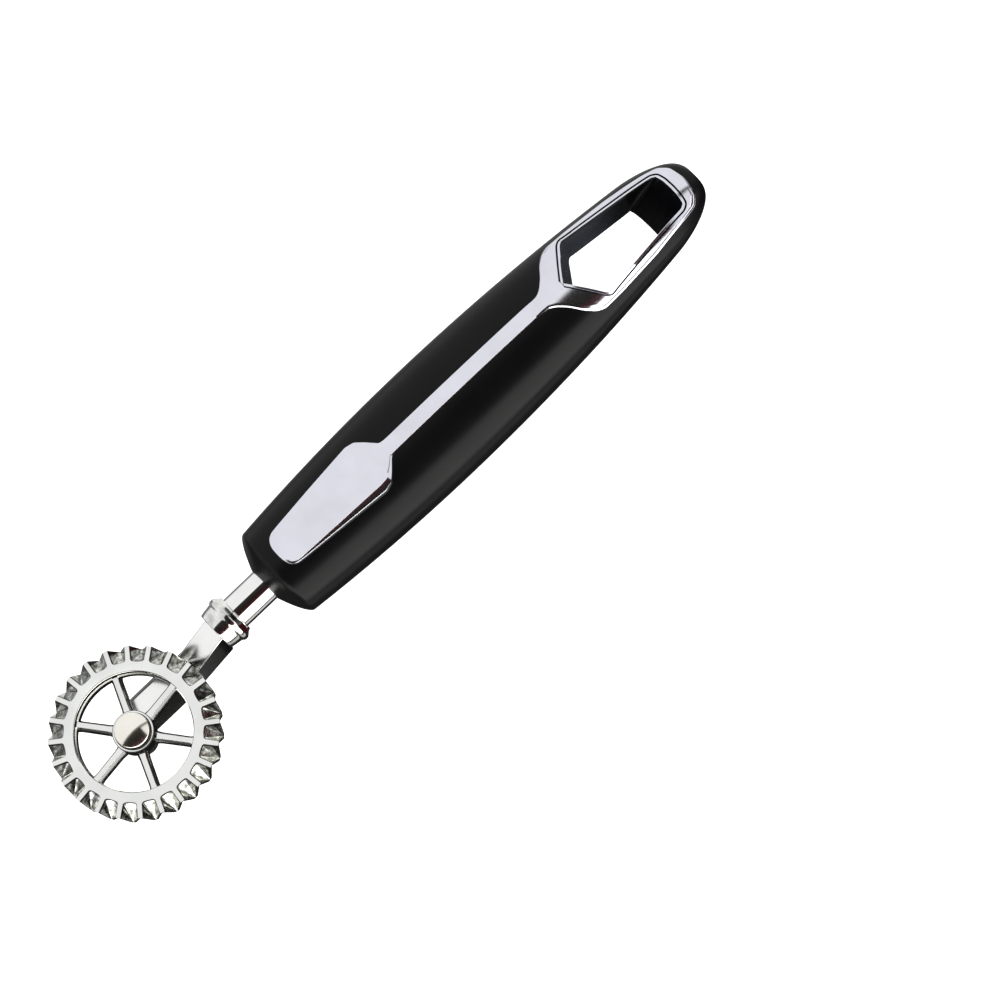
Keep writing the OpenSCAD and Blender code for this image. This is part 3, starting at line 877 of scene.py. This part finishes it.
# Brightness and colour round the tool's long axis, by angle from straight up (0) towards -Y: dark turning
# red-brown down to 47, a bright strip to 108, pale bands low on both sides and a pale sky on the +Y side
BRIGHT, PALE, DARK = (3.2, 3.2, 3.1), (0.92, 0.92, 0.93), (0.03, 0.03, 0.03)
ROOM = [(-180, DARK), (-157, DARK), (-148, (0.35, 0.35, 0.35)), (-128, (0.30, 0.30, 0.30)),
        (-121, (0.05, 0.05, 0.05)), (-113, (0.40, 0.40, 0.41)), (-101, (0.92, 0.92, 0.94)), (-14, PALE),
        (-9, (1.1, 1.1, 1.1)), (-4, (0.03, 0.027, 0.024)), (27, (0.014, 0.012, 0.011)),
        (33, (0.040, 0.010, 0.012)),
        (47, (0.05, 0.014, 0.016)), (53, BRIGHT), (108, BRIGHT), (112, DARK), (119, DARK),
        (123, (0.62, 0.62, 0.62)), (138, (0.62, 0.62, 0.62)), (142, DARK), (180, DARK)]
# Patches seen only from some directions: (colour, limits of x, -y and z over which each fades in). They are
# dark red past the loop, grey low past the wheel, pale high past the loop and pale low behind it.
PATCHES = [((0.04, 0.006, 0.008), (0.35, 0.5), (0.0, 0.1), (0.3, 0.15)),
           ((0.10, 0.10, 0.095), (-0.5, -0.68), (-2, -1.9), (0, -0.15)),
           ((0.90, 0.90, 0.92), (0.40, 0.48), (0, 0.1), (0.35, 0.5)),
           ((0.95, 0.95, 0.93), (0.05, 0.2), (-0.3, -0.45), (0, -0.15))]


def world():
    scene = bpy.context.scene
    scene.world = bpy.data.worlds.new("studio")
    scene.world.use_nodes = True
    nodes, links = scene.world.node_tree.nodes, scene.world.node_tree.links
    coords = nodes.new("ShaderNodeTexCoord")
    split = nodes.new("ShaderNodeSeparateXYZ")
    links.new(coords.outputs["Generated"], split.inputs[0])
    minus = nodes.new("ShaderNodeMath")
    minus.operation = "MULTIPLY"
    minus.inputs[1].default_value = -1
    links.new(split.outputs["Y"], minus.inputs[0])
    angle = nodes.new("ShaderNodeMath")
    angle.operation = "ARCTAN2"
    links.new(minus.outputs[0], angle.inputs[0])
    links.new(split.outputs["Z"], angle.inputs[1])
    part = nodes.new("ShaderNodeMapRange")
    part.inputs["From Min"].default_value = -math.pi
    part.inputs["From Max"].default_value = math.pi
    links.new(angle.outputs[0], part.inputs["Value"])
    ramp = nodes.new("ShaderNodeValToRGB")
    links.new(part.outputs["Result"], ramp.inputs["Fac"])
    stops = ramp.color_ramp.elements
    stops[0].position, stops[1].position = 0, 1
    for degrees, _ in ROOM[1:-1]:
        stops.new((degrees + 180) / 360)
    for stop, (degrees, colour) in zip(stops, ROOM):
        stop.color = (*colour, 1)
    colour = ramp.outputs["Color"]
    for tone, *limits in PATCHES:
        mask = None
        for source, (low, high) in zip((split.outputs["X"], minus.outputs[0], split.outputs["Z"]), limits):
            side = nodes.new("ShaderNodeMapRange")
            side.inputs["From Min"].default_value = low
            side.inputs["From Max"].default_value = high
            links.new(source, side.inputs["Value"])
            both = nodes.new("ShaderNodeMath")
            both.operation = "MULTIPLY"
            both.inputs[0].default_value = 1
            links.new(side.outputs["Result"], both.inputs[1])
            if mask:
                links.new(mask, both.inputs[0])
            mask = both.outputs[0]
        mix = nodes.new("ShaderNodeMix")
        mix.data_type = "RGBA"
        links.new(mask, mix.inputs["Factor"])
        links.new(colour, mix.inputs["A"])
        mix.inputs["B"].default_value = (*tone, 1)
        colour = mix.outputs["Result"]
    links.new(colour, nodes["Background"].inputs["Color"])


def camera():
    data = bpy.data.cameras.new("camera")
    data.sensor_width = 36
    data.lens = 213
    data.clip_start = 0.05
    data.clip_end = 20
    obj = bpy.data.objects.new("camera", data)
    obj.location = (-0.0348, -0.3869, 1.3003)
    obj.rotation_euler = (0.2285, 0.1636, -0.7491)
    bpy.context.scene.collection.objects.link(obj)
    bpy.context.scene.camera = obj


floor()
world()
key_light()
camera()
bpy.context.scene.view_settings.view_transform = "Standard"
